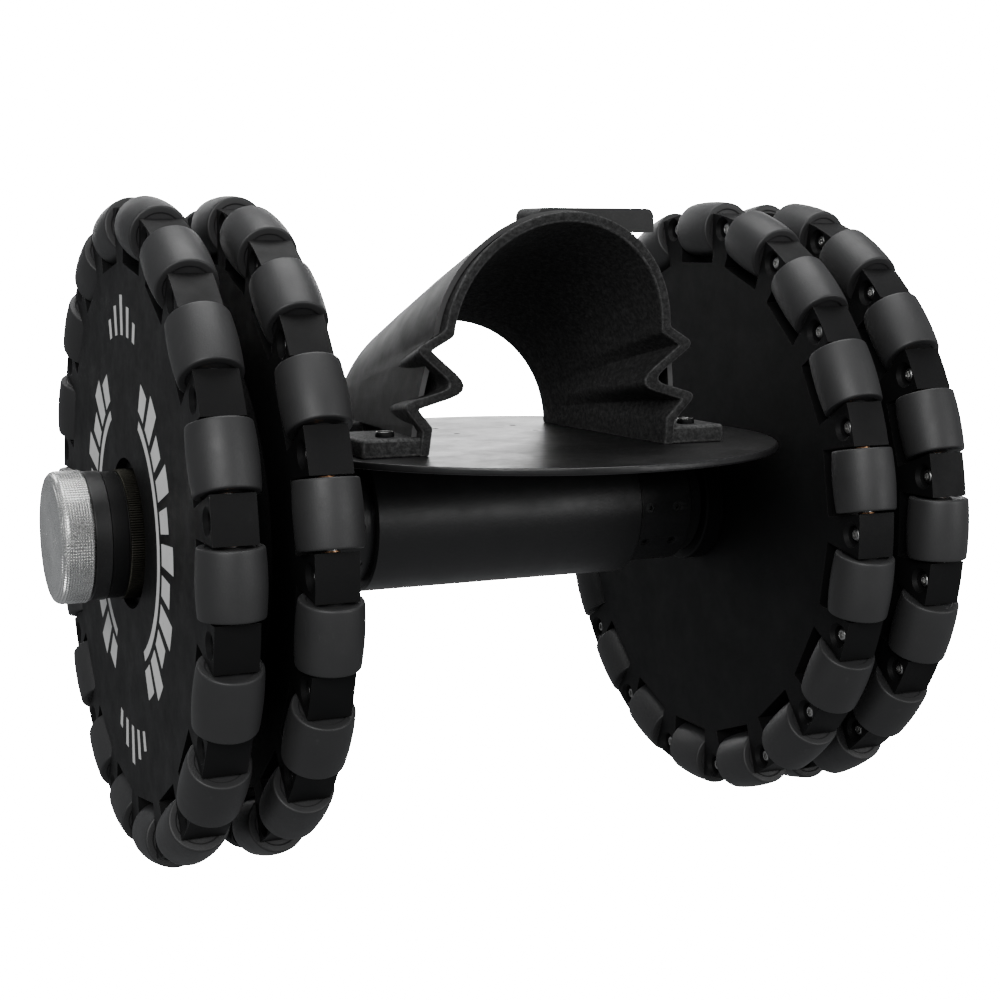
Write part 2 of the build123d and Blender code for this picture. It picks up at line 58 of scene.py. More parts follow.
MM = 0.001
SIDES = ((-1, "left"), (1, "right"))
ROWS = ("inner", "outer")
low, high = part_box("axle_shaft")
AXLE = (Vector(low) + Vector(high)) / 2
DECK_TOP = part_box("deck_plate")[1][2]
NODES = frame["nodes"]


# ---------------------------------------------------------------- materials
class Graph:
    """A material's nodes, made and wired in short calls."""

    def __init__(self, name):
        self.material = bpy.data.materials.new(name)
        self.material.use_nodes = True
        self.tree = self.material.node_tree
        self.shader = self.tree.nodes["Principled BSDF"]
        self.place = self.node("ShaderNodeTexCoord").outputs["Object"]

    def node(self, kind, **values):
        made = self.tree.nodes.new(kind)
        for key, value in values.items():
            setattr(made, key, value)
        return made

    def link(self, source, target):
        self.tree.links.new(source, target)

    def stretched(self, scale):
        mapping = self.node("ShaderNodeMapping")
        mapping.inputs["Scale"].default_value = scale
        self.link(self.place, mapping.inputs["Vector"])
        return mapping.outputs["Vector"]

    def noise(self, scale, detail=3.0, rough=0.55, place=None):
        made = self.node("ShaderNodeTexNoise")
        made.inputs["Scale"].default_value = scale
        made.inputs["Detail"].default_value = detail
        made.inputs["Roughness"].default_value = rough
        self.link(place or self.place, made.inputs["Vector"])
        return made.outputs["Fac"]

    def cells(self, scale):
        made = self.node("ShaderNodeTexVoronoi")
        made.inputs["Scale"].default_value = scale
        self.link(self.place, made.inputs["Vector"])
        return made.outputs["Distance"]

    def spread(self, source, start, end, to_start=0.0, to_end=1.0):
        made = self.node("ShaderNodeMapRange")
        for key, value in zip(("From Min", "From Max", "To Min", "To Max"), (start, end, to_start, to_end)):
            made.inputs[key].default_value = value
        self.link(source, made.inputs["Value"])
        return made.outputs["Result"]

    def tint(self, amount, first, second):
        made = self.node("ShaderNodeMix", data_type="RGBA")
        self.link(amount, made.inputs["Factor"])
        for socket, colour in ((made.inputs[6], first), (made.inputs[7], second)):
            if hasattr(colour, "default_value"):
                self.link(colour, socket)
            else:
                socket.default_value = (*colour, 1)
        return made.outputs[2]

    def bump(self, height, distance, strength=1.0, before=None):
        made = self.node("ShaderNodeBump")
        made.inputs["Strength"].default_value = strength
        made.inputs["Distance"].default_value = distance
        self.link(height, made.inputs["Height"])
        if before is not None:
            self.link(before, made.inputs["Normal"])
        return made.outputs["Normal"]

    def wire(self, colour, roughness, normal, metallic=0.0, specular=0.5):
        self.link(colour, self.shader.inputs["Base Color"])
        self.link(roughness, self.shader.inputs["Roughness"])
        self.link(normal, self.shader.inputs["Normal"])
        self.shader.inputs["Metallic"].default_value = metallic
        self.shader.inputs["Specular IOR Level"].default_value = specular
        return self.material


def moulded(name, dark, light, rough, grain, depth, specular=0.5):
    """Fine-grained plastic or coated metal with a slow drift of colour and gloss, dust and faint scuffs."""
    g = Graph(name)
    drift = g.noise(28, 4)
    fine = g.noise(grain, 5, 0.7)
    scuffs = g.spread(g.noise(160, 6, 0.75, g.stretched((1.0, 4.0, 0.6))), 0.62, 0.72)
    base = g.tint(g.spread(drift, 0.3, 0.7), dark, light)
    colour = g.tint(g.spread(scuffs, 0, 1, 0, 0.22), base, tuple(min(1, 2.6 * c) for c in light))
    gloss = g.spread(g.noise(90, 5, 0.7), 0.3, 0.7, rough - 0.07, rough + 0.07)
    normal = g.bump(fine, depth, 0.6)
    return g.wire(colour, gloss, normal, 0.0, specular)


def granular(name, dark, light, rough, size, depth):
    """Coarse crumbed surface, its grains painted lighter on their tops and darker in their hollows, as
    painted light and shade that follows the bump.
    """
    g = Graph(name)
    crumbs = g.cells(size)
    lumps = g.noise(size * 0.45, 5, 0.75)
    # Colour follows the bump's lumps: a painted highlight on the tops and painted shade in the hollows, in
    # random patches.
    painted_grain_light = g.spread(lumps, 0.42, 0.72)
    patches = g.spread(g.noise(45, 3), 0.35, 0.65, 0.75, 1.0)
    painted_grain_light_in_patches = g.node("ShaderNodeMath", operation="MULTIPLY")
    g.link(painted_grain_light, painted_grain_light_in_patches.inputs[0])
    g.link(patches, painted_grain_light_in_patches.inputs[1])
    colour = g.tint(painted_grain_light_in_patches.outputs[0], dark, light)
    gloss = g.spread(lumps, 0.3, 0.7, rough + 0.08, rough - 0.08)
    normal = g.bump(lumps, depth, 0.9, g.bump(crumbs, depth * 0.5, 0.6))
    return g.wire(colour, gloss, normal, 0.0, 0.35)


def machined(name, dark, light, rough, stretch=(0.05, 1.0, 1.0), grain=2600):
    """Turned or drawn metal: fine lines that run along the axes with a small stretch, stains and marks."""
    g = Graph(name)
    lines = g.noise(grain, 3, 0.6, g.stretched(stretch))
    stains = g.noise(60, 5, 0.65)
    marks = g.spread(g.noise(420, 6, 0.8), 0.64, 0.74)
    base = g.tint(g.spread(stains, 0.35, 0.68), light, dark)
    colour = g.tint(g.spread(marks, 0, 1, 0, 0.2), base, dark)
    gloss = g.spread(lines, 0.3, 0.7, rough - 0.06, rough + 0.1)
    return g.wire(colour, gloss, g.bump(lines, 0.00003, 0.5), 1.0)


def printed(name):
    """White print, worn through in small spots."""
    g = Graph(name)
    worn = g.spread(g.noise(650, 7, 0.8), 0.60, 0.72)
    base = g.tint(g.spread(g.noise(50, 3), 0.3, 0.7), (0.60, 0.60, 0.59), (0.72, 0.72, 0.71))
    colour = g.tint(worn, base, (0.16, 0.16, 0.16))
    gloss = g.spread(g.noise(300, 4), 0.3, 0.7, 0.5, 0.65)
    return g.wire(colour, gloss, g.bump(g.noise(1500, 4, 0.7), 0.00003, 0.5), 0.0, 0.4)


MATERIALS = {
    "roller_rubber": moulded(
        "roller_rubber", (0.018, 0.018, 0.0184), (0.025, 0.025, 0.0254), 0.50, 1900, 0.00006, 0.42
    ),
    "wheel_black": moulded(
        "wheel_black", (0.0030, 0.0030, 0.0031), (0.0055, 0.0055, 0.0057), 0.54, 2300, 0.00005, 0.14
    ),
    "axle_black": moulded(
        "axle_black", (0.009, 0.009, 0.0092), (0.014, 0.014, 0.0143), 0.38, 2600, 0.00004, 0.5
    ),
    "deck_black": moulded(
        "deck_black", (0.005, 0.005, 0.0052), (0.009, 0.009, 0.0092), 0.37, 1500, 0.00009, 0.46
    ),
    "saddle_black": granular(
        "saddle_black", (0.006, 0.006, 0.006), (0.040, 0.040, 0.040), 0.74, 1500, 0.00035
    ),
    "shell_black": moulded(
        "shell_black", (0.012, 0.012, 0.012), (0.022, 0.022, 0.022), 0.60, 1400, 0.0001, 0.34
    ),
    "bright_steel": machined("bright_steel", (0.36, 0.36, 0.35), (0.58, 0.58, 0.57), 0.30),
    "black_screw": machined("black_screw", (0.05, 0.05, 0.05), (0.11, 0.11, 0.11), 0.38),
    "brass": machined("brass", (0.48, 0.24, 0.12), (0.80, 0.45, 0.25), 0.32),
    "bronze_dark": machined(
        "bronze_dark", (0.018, 0.0172, 0.0135), (0.034, 0.0328, 0.0270), 0.46, (1.0, 0.2, 0.2)
    ),
    "knob_silver": machined(
        "knob_silver", (0.66, 0.66, 0.65), (0.84, 0.84, 0.83), 0.22, (1.0, 0.3, 0.3), 9000
    ),
}
# Lighter second materials that paint a highlight on the bevelled edges, and on the shell's front rim as
# well.
PAINTED_EDGE_HIGHLIGHTS = {
    "wheel_black": moulded(
        "wheel_black_painted_edge_highlight", (0.010, 0.010, 0.010), (0.022, 0.022, 0.022), 0.45, 1900, 0.00005, 0.4
    ),
    "deck_black": moulded(
        "deck_black_painted_edge_highlight", (0.016, 0.016, 0.016), (0.050, 0.050, 0.050), 0.42, 1500, 0.00008, 0.45
    ),
    "shell_black": moulded(
        "shell_black_painted_highlight", (0.050, 0.050, 0.050), (0.110, 0.110, 0.110), 0.5, 1400, 0.0001, 0.45
    ),
    "saddle_black": granular(
        "saddle_black_painted_edge_highlight", (0.020, 0.020, 0.020), (0.090, 0.090, 0.090), 0.7, 1700, 0.00025
    ),
}
PRINT_WHITE = printed("print_white")


def smooth_by_angle(angle):
    """A node group that shades an object smooth, apart from edges sharper than an angle."""
    tree = bpy.data.node_groups.new("soften", "GeometryNodeTree")
    tree.interface.new_socket("Geometry", in_out="INPUT", socket_type="NodeSocketGeometry")
    tree.interface.new_socket("Geometry", in_out="OUTPUT", socket_type="NodeSocketGeometry")
    start = tree.nodes.new("NodeGroupInput")
    end = tree.nodes.new("NodeGroupOutput")
    smooth = tree.nodes.new("GeometryNodeSetShadeSmooth")
    edge = tree.nodes.new("GeometryNodeInputMeshEdgeAngle")
    test = tree.nodes.new("FunctionNodeCompare")
    sharp = tree.nodes.new("GeometryNodeSetShadeSmooth")
    sharp.domain = "EDGE"
    sharp.inputs["Shade Smooth"].default_value = False
    test.operation = "GREATER_THAN"
    test.inputs[1].default_value = angle
    tree.links.new(start.outputs[0], smooth.inputs["Geometry"])
    tree.links.new(edge.outputs["Unsigned Angle"], test.inputs[0])
    tree.links.new(test.outputs[0], sharp.inputs["Selection"])
    tree.links.new(smooth.outputs["Geometry"], sharp.inputs["Geometry"])
    tree.links.new(sharp.outputs["Geometry"], end.inputs[0])
    return tree


SOFTEN = smooth_by_angle(radians(35))


def soften(obj):
    """Comes after an object's bevels, so that their facets are smoothed too."""
    obj.modifiers.new("soften", "NODES").node_group = SOFTEN


def round_edges(obj, width, segments=2, edge=False):
    """Bevels the sharp edges. With edge, the bevels take the object's second material, a lighter one that
    paints a highlight along them.
    """
    bevel = obj.modifiers.new("rounded", "BEVEL")
    bevel.width = width
    bevel.segments = segments
    bevel.limit_method = "ANGLE"
    bevel.angle_limit = radians(50)
    if edge:
        bevel.material = 1


# ---------------------------------------------------------------- mesh helpers
WELD = 2e-6


def finish_piece(obj, slot, body, replaced, second_material=None):
    """Gives a piece the material of its slot and any second material, puts it on its body and hides the CAD
    nodes it stands for.
    """
    obj.data.materials.append(MATERIALS[slot])
    if second_material:
        obj.data.materials.append(second_material)
    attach(obj, body)
    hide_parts(*replaced)


def object_of(name, build, *values):
    """Makes an object from a function that fills a bmesh, given the values it wants."""
    work = bmesh.new()
    build(work, *values)
    bmesh.ops.remove_doubles(work, verts=work.verts, dist=WELD)
    bmesh.ops.recalc_face_normals(work, faces=work.faces)
    mesh = bpy.data.meshes.new(name)
    work.to_mesh(mesh)
    work.free()
    obj = bpy.data.objects.new(name, mesh)
    bpy.context.scene.collection.objects.link(obj)
    return obj


def lathe(work, profile, segments, placed=Matrix.Identity(4), closed=True, shape=None):
    """Turns a profile of (along, radius) points about its own X axis. shape can move each point."""
    rings = []
    for index in range(segments):
        angle = 2 * pi * index / segments
        ring = []
        for spot, (along, radius) in enumerate(profile):
            if shape:
                along, radius = shape(spot, along, radius, angle)
            ring.append(work.verts.new(placed @ Vector((along, radius * cos(angle), radius * sin(angle)))))
        rings.append(ring)
    steps = len(profile) if closed else len(profile) - 1
    for index, ring in enumerate(rings):
        following = rings[(index + 1) % segments]
        for spot in range(steps):
            other = (spot + 1) % len(profile)
            work.faces.new((ring[spot], ring[other], following[other], following[spot]))


def rounded(points, radii, steps, closed=True):
    """Rounds the corners of an outline. Each corner gets the same number of points, whatever its angle."""
    made = []
    count = len(points)
    for index, point in enumerate(points):
        here = Vector(point)
        if radii[index] == 0 or (not closed and index in (0, count - 1)):
            made.append(tuple(here))
            continue
        before = Vector(points[index - 1])
        after = Vector(points[(index + 1) % count])
        back = (before - here).normalized()
        ahead = (after - here).normalized()
        opening = back.angle(ahead)
        if pi - opening < 0.02:
            made.extend([tuple(here)] * (steps + 1))
            continue
        reach = radii[index] / max(sin(opening / 2) / cos(opening / 2), 1e-4)
        room = 0.45 * min((before - here).length, (after - here).length)
        reach = min(reach, room)
        start = here + back * reach
        end = here + ahead * reach
        for step in range(steps + 1):
            t = step / steps
            spot = start * (1 - t) ** 2 + here * (2 * t * (1 - t)) + end * t**2
            made.append(tuple(spot))
    return made


def row_middle(word, row):
    """Where a wheel's row of rollers lies along the axle."""
    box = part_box(f"roller_{word}_{row}_1")
    return (box[0][0] + box[1][0]) / 2


def rim_place(x, angle, radius):
    """Own X along the rim's tangent, own Y away from the axle."""
    c = cos(angle)
    s = sin(angle)
    axes = Matrix(((0, 0, 1), (s, -c, 0), (c, s, 0))).to_4x4()
    return Matrix.Translation((x, AXLE.y - radius * c, AXLE.z + radius * s)) @ axes


def face_place(x, side, angle, radius):
    """Own X pointing out of the wheel's side, at an angle round the axle."""
    flat = Matrix.Rotation(0 if side > 0 else pi, 4, "Z")
    return Matrix.Translation((x, AXLE.y - radius * cos(angle), AXLE.z + radius * sin(angle))) @ flat


# ---------------------------------------------------------------- CAD nodes that stay
# STANDS_IN lists the nodes that a piece stands for. BEVELS goes by how a node's name begins.
STANDS_IN = ["saddle_liner", "saddle_screws"]
for _, word in SIDES:
    STANDS_IN += ["knob_" + word, "hub_nut_" + word, "lug_screws_" + word, "still_rollers_" + word]
    STANDS_IN.append("roller_washers_" + word)
STANDS_IN += [name for name in NODES if name.startswith("roller_") and name[-1].isdigit()]
SLOTS = {part["node"]: part["material_slot"] for part in frame["record"]["subparts"]}
BEVELS = {
    "inner_disc": 0.00045,
    "outer_disc": 0.00045,
    "saddle_shell": 0.0003,
    "end_collars": 0.0003,
    "saddle_pad": 0.0009,
    "thrust_collar": 0.0004,
    "deck_mount": 0.0008,
}
for name, obj in NODES.items():
    if name in STANDS_IN:
        continue
    slot = SLOTS[name]
    obj.data.materials.clear()
    obj.data.materials.append(MATERIALS[slot])
    weld = obj.modifiers.new("weld", "WELD")
    weld.merge_threshold = 0.000004
    for start, width in BEVELS.items():
        if name.startswith(start):
            # The bevels take a lighter second material, a painted edge highlight.
            if slot in PAINTED_EDGE_HIGHLIGHTS:
                obj.data.materials.append(PAINTED_EDGE_HIGHLIGHTS[slot])
            round_edges(obj, width, 2, slot in PAINTED_EDGE_HIGHLIGHTS)
    soften(obj)
    flat = obj.modifiers.new("flat", "WEIGHTED_NORMAL")
    flat.keep_sharp = True


# ---------------------------------------------------------------- rollers
ROLLER_HALF = 9.5 * MM
ROLLER_END_RADIUS = 9.0 * MM
ROLLER_BULGE = 0.5 * MM
ROLLER_PROFILE = rounded(
    [
        (-ROLLER_HALF, 2.15 * MM),
        (-ROLLER_HALF, 3.6 * MM),
        (-ROLLER_HALF + 0.35 * MM, 4.0 * MM),
        (-ROLLER_HALF + 0.35 * MM, 6.6 * MM),
        (-ROLLER_HALF, 7.0 * MM),
        (-ROLLER_HALF, ROLLER_END_RADIUS),
    ],
    [0, 0.1 * MM, 0.1 * MM, 0.1 * MM, 0.1 * MM, 0],
    3,
    False,
)[:-1]
CROWN_STEPS = 14


def crown_point(t):
    """A point on the tyre's slight barrel, with t going from 0 at one end to 1 at the other."""
    return (-ROLLER_HALF + t * 2 * ROLLER_HALF, ROLLER_END_RADIUS + ROLLER_BULGE * (1 - (2 * t - 1) ** 2))


CROWN = [crown_point(index / CROWN_STEPS) for index in range(1, CROWN_STEPS)]
SHOULDER = rounded(
    [(-ROLLER_HALF, 7.3 * MM), (-ROLLER_HALF, ROLLER_END_RADIUS), (-ROLLER_HALF + 1.5 * MM, 9.13 * MM)],
    [0, 1.2 * MM, 0],
    6,
    False,
)[1:-1]
HALF = ROLLER_PROFILE + SHOULDER
ROLLER_POINTS = HALF + CROWN + [(-x, r) for x, r in reversed(HALF)]
ROLLER_SEGMENTS = 64
ROLLERS_IN_ROW = 18
ROLLER_STEP = 360 // ROLLERS_IN_ROW
ROLLER_START = {"inner": -90, "outer": -80}
BUSH_POINTS = rounded(
    [(9.65 * MM, 2.01 * MM), (9.65 * MM, 2.5 * MM), (10.23 * MM, 2.5 * MM), (10.23 * MM, 2.01 * MM)],
    [0, 0.15 * MM, 0.15 * MM, 0],
    3,
)

roller_mesh = bpy.data.meshes.new("roller")
work = bmesh.new()
lathe(work, ROLLER_POINTS, ROLLER_SEGMENTS)
bmesh.ops.recalc_face_normals(work, faces=work.faces)
work.to_mesh(roller_mesh)
work.free()
roller_mesh.materials.append(MATERIALS["roller_rubber"])


def make_tyres(word):
    """A tyre for each roller that has a body. Returns the places taken and the row's radius."""
    taken = []
    for row in ROWS:
        stem = f"roller_{word}_{row}_"
        for name in sorted(n for n in NODES if n.startswith(stem)):
            lo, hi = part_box(name)
            middle = (Vector(lo) + Vector(hi)) / 2
            angle = atan2(middle.z - AXLE.z, AXLE.y - middle.y)
            radius = hypot(middle.y - AXLE.y, middle.z - AXLE.z)
            taken.append((row, round(degrees(angle)) % 360))
            roller = bpy.data.objects.new("tyre_" + name, roller_mesh)
            bpy.context.scene.collection.objects.link(roller)
            roller.matrix_world = rim_place(middle.x, angle, radius)
            soften(roller)
            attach(roller, name)
            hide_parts(name)
    return taken, radius


def fill_bushes(work, word, radius):
    """A small brass ring at each end of every roller."""
    for row in ROWS:
        row_x = row_middle(word, row)
        for index in range(ROLLERS_IN_ROW):
            place = rim_place(row_x, radians(ROLLER_START[row] + ROLLER_STEP * index), radius)
            for end in (-1, 1):
                lathe(work, [(end * a, r) for a, r in BUSH_POINTS], 32, place)


def fill_still(work, word, radius, taken):
    """The tyres of the rollers that turn with their wheel."""
    for row in ROWS:
        row_x = row_middle(word, row)
        for index in range(ROLLERS_IN_ROW):
            angle = ROLLER_START[row] + ROLLER_STEP * index
            if (row, angle % 360) not in taken:
                lathe(work, ROLLER_POINTS, ROLLER_SEGMENTS, rim_place(row_x, radians(angle), radius))


for _, word in SIDES:
    taken, row_radius = make_tyres(word)

    bushes = object_of("end_bushes_" + word, fill_bushes, word, row_radius)
    soften(bushes)
    finish_piece(bushes, "brass", "wheel_" + word, ["roller_washers_" + word])

    still = object_of("still_tyres_" + word, fill_still, word, row_radius, taken)
    soften(still)
    finish_piece(still, "roller_rubber", "wheel_" + word, ["still_rollers_" + word])


# ---------------------------------------------------------------- lug screws
LUG_RADIUS = 93.5 * MM
LUG_HALF_WIDTH = 3.25 * MM
HEAD = rounded(
    [
        (0.0, 0.0),
        (0.0, 2.15 * MM),
        (0.9 * MM, 2.15 * MM),
        (1.55 * MM, 1.5 * MM),
        (1.55 * MM, 0.95 * MM),
        (0.7 * MM, 0.95 * MM),
        (0.7 * MM, 0.0),
    ],
    [0, 0.1 * MM, 0.5 * MM, 0.2 * MM, 0.08 * MM, 0.05 * MM, 0],
    3,
    False,
)


def hex_socket(spot, along, radius, angle):
    """Makes the wall of a head's socket six-sided."""
    if 0.5 * MM < along and 0 < radius < 1.0 * MM:
        return along, radius / cos((angle + pi / 6) % (pi / 3) - pi / 6) * 0.95
    return along, radius


def fill_screws(work, word):
    """A head on both sides of every lug, the lugs lying midway between the rollers."""
    for row in ROWS:
        row_x = row_middle(word, row)
        for index in range(ROLLERS_IN_ROW):
            angle = radians(ROLLER_START[row] + ROLLER_STEP / 2 + ROLLER_STEP * index)
            for face in (-1, 1):
                place = face_place(row_x + face * LUG_HALF_WIDTH, face, angle, LUG_RADIUS)
                lathe(work, HEAD, 24, place, False, hex_socket)


for _, word in SIDES:
    screws = object_of("lug_screw_heads_" + word, fill_screws, word)
    soften(screws)
    finish_piece(screws, "bright_steel", "wheel_" + word, ["lug_screws_" + word])


# ---------------------------------------------------------------- knurled knobs and serrated nuts
def ridge(phase, shoulder=0.8):
    """Height from 0 in a groove to 1 on top, four points to a pitch."""
    return (0.0, shoulder, 1.0, shoulder)[int(round(phase * 4)) % 4]


KNURLS = 132
KNURL_ROWS = 9
KNURL_DEPTH = 0.34 * MM
KNOB_LEAD = 0.5 * MM
KNOB_SHOULDER = 2.3 * MM
SHOULDER_STEPS = 16
FACE_RINGS = 14
FACE_KNURL_DEPTH = 0.14 * MM
SERRATIONS = 164
SERRATION_DEPTH = 0.42 * MM
SERRATED_LENGTH = 6.35 * MM
HUB_PLACE = Matrix.Translation((0, AXLE.y, AXLE.z))


def span_of(name):
    """A turned node's nearest and furthest distance from the middle of the axle, and its radius."""
    lo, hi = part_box(name)
    return min(abs(lo[0]), abs(hi[0])), max(abs(lo[0]), abs(hi[0])), (hi[2] - lo[2]) / 2


def make_knob(side, word):
    """A knob with a square knurl on its rim and rounded shoulder, and a shallower one on its face."""
    start_x, end_x, radius = span_of("knob_" + word)
    knurl_length = end_x - start_x - KNOB_LEAD - KNOB_SHOULDER
    points = [(start_x, 7.7 * MM), (start_x, radius - 1.1 * MM), (start_x + 0.35 * MM, radius - 0.45 * MM)]
    rim_first = len(points)
    for index in range(KNURL_ROWS * 4 + 1):
        points.append((start_x + KNOB_LEAD + knurl_length * index / (KNURL_ROWS * 4), radius))
    for index in range(1, SHOULDER_STEPS + 1):
        turn = pi / 2 * index / SHOULDER_STEPS
        shoulder_x = end_x - KNOB_SHOULDER + KNOB_SHOULDER * sin(turn)
        points.append((shoulder_x, radius - KNOB_SHOULDER + KNOB_SHOULDER * cos(turn)))
    face_first = len(points)
    face_radius = radius - KNOB_SHOULDER - 0.2 * MM
    for index in range(FACE_RINGS * 4 + 1):
        points.append((end_x, face_radius - (radius - 8 * MM) * index / (FACE_RINGS * 4)))
    face_end = len(points)
    points += [(end_x - 0.5 * MM, 4.6 * MM), (end_x - 0.5 * MM, 0.0)]

    def knurl(spot, along, r, angle):
        phase = (angle / (2 * pi) * KNURLS) % 1
        if rim_first <= spot < face_first:
            across = ridge(((spot - rim_first) / 4) % 1, 1.0)
            return along, r - KNURL_DEPTH * (1 - min(ridge(phase, 1.0), across))
        if face_first <= spot < face_end:
            across = ridge(((spot - face_first) / 4) % 1)
            return along - side * FACE_KNURL_DEPTH * (1 - min(ridge(phase), across)), r
        return along, r

    points = [(side * x, r) for x, r in points]
    knob = object_of("knurled_knob_" + word, lathe, points, KNURLS * 4, HUB_PLACE, False, knurl)
    soften(knob)
    finish_piece(knob, "knob_silver", "knob_" + word, ["knob_" + word])


def make_nut(side, word):
    """A hub nut with a serrated ring next to the disc and a plain black collar outside it."""
    start_x, end_x, radius = span_of("hub_nut_" + word)
    ring_end = start_x + SERRATED_LENGTH
    points = rounded(
        [
            (start_x, 8.6 * MM),
            (start_x, radius),
            (ring_end, radius),
            (ring_end, radius - 0.9 * MM),
            (ring_end + 0.5 * MM, radius - 0.9 * MM),
            (ring_end + 0.5 * MM, radius - 0.5 * MM),
            (end_x, radius - 0.5 * MM),
            (end_x, 8.6 * MM),
        ],
        [0, 0.3 * MM, 0.3 * MM, 0.05 * MM, 0.05 * MM, 0.15 * MM, 0.3 * MM, 0],
        3,
    )

    def serrate(spot, along, r, angle):
        if abs(along) <= ring_end + 0.01 * MM and r > radius - 0.85 * MM:
            return along, r - SERRATION_DEPTH * (1 - ridge((angle / (2 * pi) * SERRATIONS) % 1))
        return along, r

    points = [(side * x, r) for x, r in points]
    nut = object_of("serrated_nut_" + word, lathe, points, SERRATIONS * 4, HUB_PLACE, True, serrate)
    soften(nut)
    finish_piece(nut, "bronze_dark", "wheel_" + word, ["hub_nut_" + word], MATERIALS["wheel_black"])
    for face in nut.data.polygons:
        if abs(face.center.x) > ring_end + 0.02 * MM:
            face.material_index = 1


for side, word in SIDES:
    make_knob(side, word)
    make_nut(side, word)


# ---------------------------------------------------------------- printed graphic on the left wheel
PRINT_SINK = 0.03 * MM


def patch(work, inner, outer, start, end):
    """A thin plate on the disc's face, between two radii in millimetres and two angles in degrees."""
    face_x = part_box("outer_disc_left")[0][0] - PRINT_SINK
    steps = max(2, int(abs(end - start) / 1.5))
    rows = []
    for step in range(steps + 1):
        a = radians(start + (end - start) * step / steps)
        row = []
        for r in (inner, outer):
            y = AXLE.y - r * MM * cos(a)
            z = AXLE.z + r * MM * sin(a)
            row.append((work.verts.new((face_x, y, z)), work.verts.new((face_x + 2 * PRINT_SINK, y, z))))
        rows.append(row)
    for first_row, next_row in zip(rows, rows[1:]):
        (a, a2), (b, b2) = first_row
        (c, c2), (d, d2) = next_row
        work.faces.new((a, b, d, c))
        work.faces.new((a2, c2, d2, b2))
        work.faces.new((a, c, c2, a2))
        work.faces.new((b, b2, d2, d))
    for (a, a2), (b, b2) in (rows[0], rows[-1]):
        work.faces.new((a, a2, b2, b))


def fill_print(work):
    """Two arcs with blocks outside them at the sides, and a fan of ticks at the top and bottom."""
    for middle in (0, 180):
        patch(work, 37.5, 40.5, middle - 62, middle + 62)
        for index in range(11):
            at = middle - 60 + 12 * index
            patch(work, 43.0, 56.0 if index % 2 else 52.0, at - 4.2, at + 4.2)
    for middle in (90, 270):
        for index in range(5):
            at = middle - 14 + 7 * index
            patch(work, 60.0, 66.0 + 3 * (2 - abs(index - 2)), at - 1.3, at + 1.3)


graphic = object_of("printed_ring_left", fill_print)
graphic.data.materials.append(PRINT_WHITE)
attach(graphic, "wheel_left")


# ---------------------------------------------------------------- saddle
# The saddle's sizes are in millimetres. Its section is drawn as points (u, v), with u from its middle
# and v up from the deck, and distance is measured back from its front.
SADDLE_X = -7.4
FRONT_Y = AXLE.y / MM - 64.4
LENGTH = 78.4
LINER = 3.0
FRONT_TILT = 10.8
FRONT_CROWN = 67.6
BACK_RADIUS = 35
FRONT_WALL = [(38.5, 0), (38.0, 8.3), (37.2, 14.0), (36.4, 19.7), (34.4, 31.0), (33.2, 35.0)]
BACK_ANGLES = (0, 5, 9, 13, 19, 23)
BACK_WALL = [(BACK_RADIUS * cos(radians(a)), BACK_RADIUS * sin(radians(a))) for a in BACK_ANGLES]

# Where the wall's points 2, 3 and 4 go when fully folded, and at what distance how much of that is
# left: (distance, share of the outward folds 2 and 4, share of the inward fold 3).
INWARD = 3
TIPS = {2: (42.8, 14.0), INWARD: (25.6, 19.0), 4: (40.0, 31.0)}
STAGES = [(0.0, 1.0, 1.0), (4.0, 0.91, 0.94), (50.0, 0.0, 0.34), (68.0, 0.0, 0.0), (LENGTH, 0.0, 0.0)]

# How far each point of the wall is rounded on the (inner, outer) surface.
ROUNDING = {1: (1.2, 1.2), 2: (0.5, 2.2), INWARD: (5.2, 2.6), 4: (0.5, 2.2), 5: (3.0, 3.0)}
ARCH_STEPS = 20
DISTANCES = [0.0, 1.2, 4.0, 9.0, 14.0, 19.0, 24.0, 29.0, 34.0, 40.0, 46.0, 53.0, 60.0, 69.0, LENGTH]

FOOT_HEIGHT = 5.4
FOOT_LENGTH = 26
FOOT_INSIDE = 39.0
FOOT_OUTSIDE = 59.0
SCREW_OUT = 49.5
SCREW_INSET = 7.0


def share(distance, column):
    """How much of a fold is left at a distance, between the stages."""
    for (d0, *s0), (d1, *s1) in zip(STAGES, STAGES[1:]):
        if distance <= d1:
            return s0[column] + (s1[column] - s0[column]) * (distance - d0) / (d1 - d0)
    return 0.0


def wall_line(distance):
    """The side wall's inner corners at a distance, and the height of the crown there."""
    wall = [Vector(p) for p in FRONT_WALL]
    for index, tip in TIPS.items():
        amount = share(distance, 1 if index == INWARD else 0)
        wall[index] = wall[index].lerp(Vector(tip), amount)
    along = distance / LENGTH
    crown = FRONT_CROWN + (BACK_RADIUS - FRONT_CROWN) * along
    return [p.lerp(Vector(b), along) for p, b in zip(wall, BACK_WALL)], crown


def offset_line(wall, crown, gap):
    """Moves the wall's corners outward by a gap, keeping every stretch parallel to itself."""
    rise = crown - wall[-1].y
    arc = (wall[-1].x ** 2 + rise**2) / (2 * rise)
    lean = (rise - arc) / arc
    heads = [(b - a).normalized() for a, b in zip(wall, wall[1:])]
    heads.append(Vector((lean, (1 - lean**2) ** 0.5)))
    moved = [Vector((wall[0].x + gap / heads[0].y, 0))]
    for point, before, after in zip(wall[1:], heads, heads[1:]):
        normal = Vector((before.y + after.y, -before.x - after.x))
        moved.append(point + normal * (gap / (normal.x * before.y - normal.y * before.x)))
    return moved


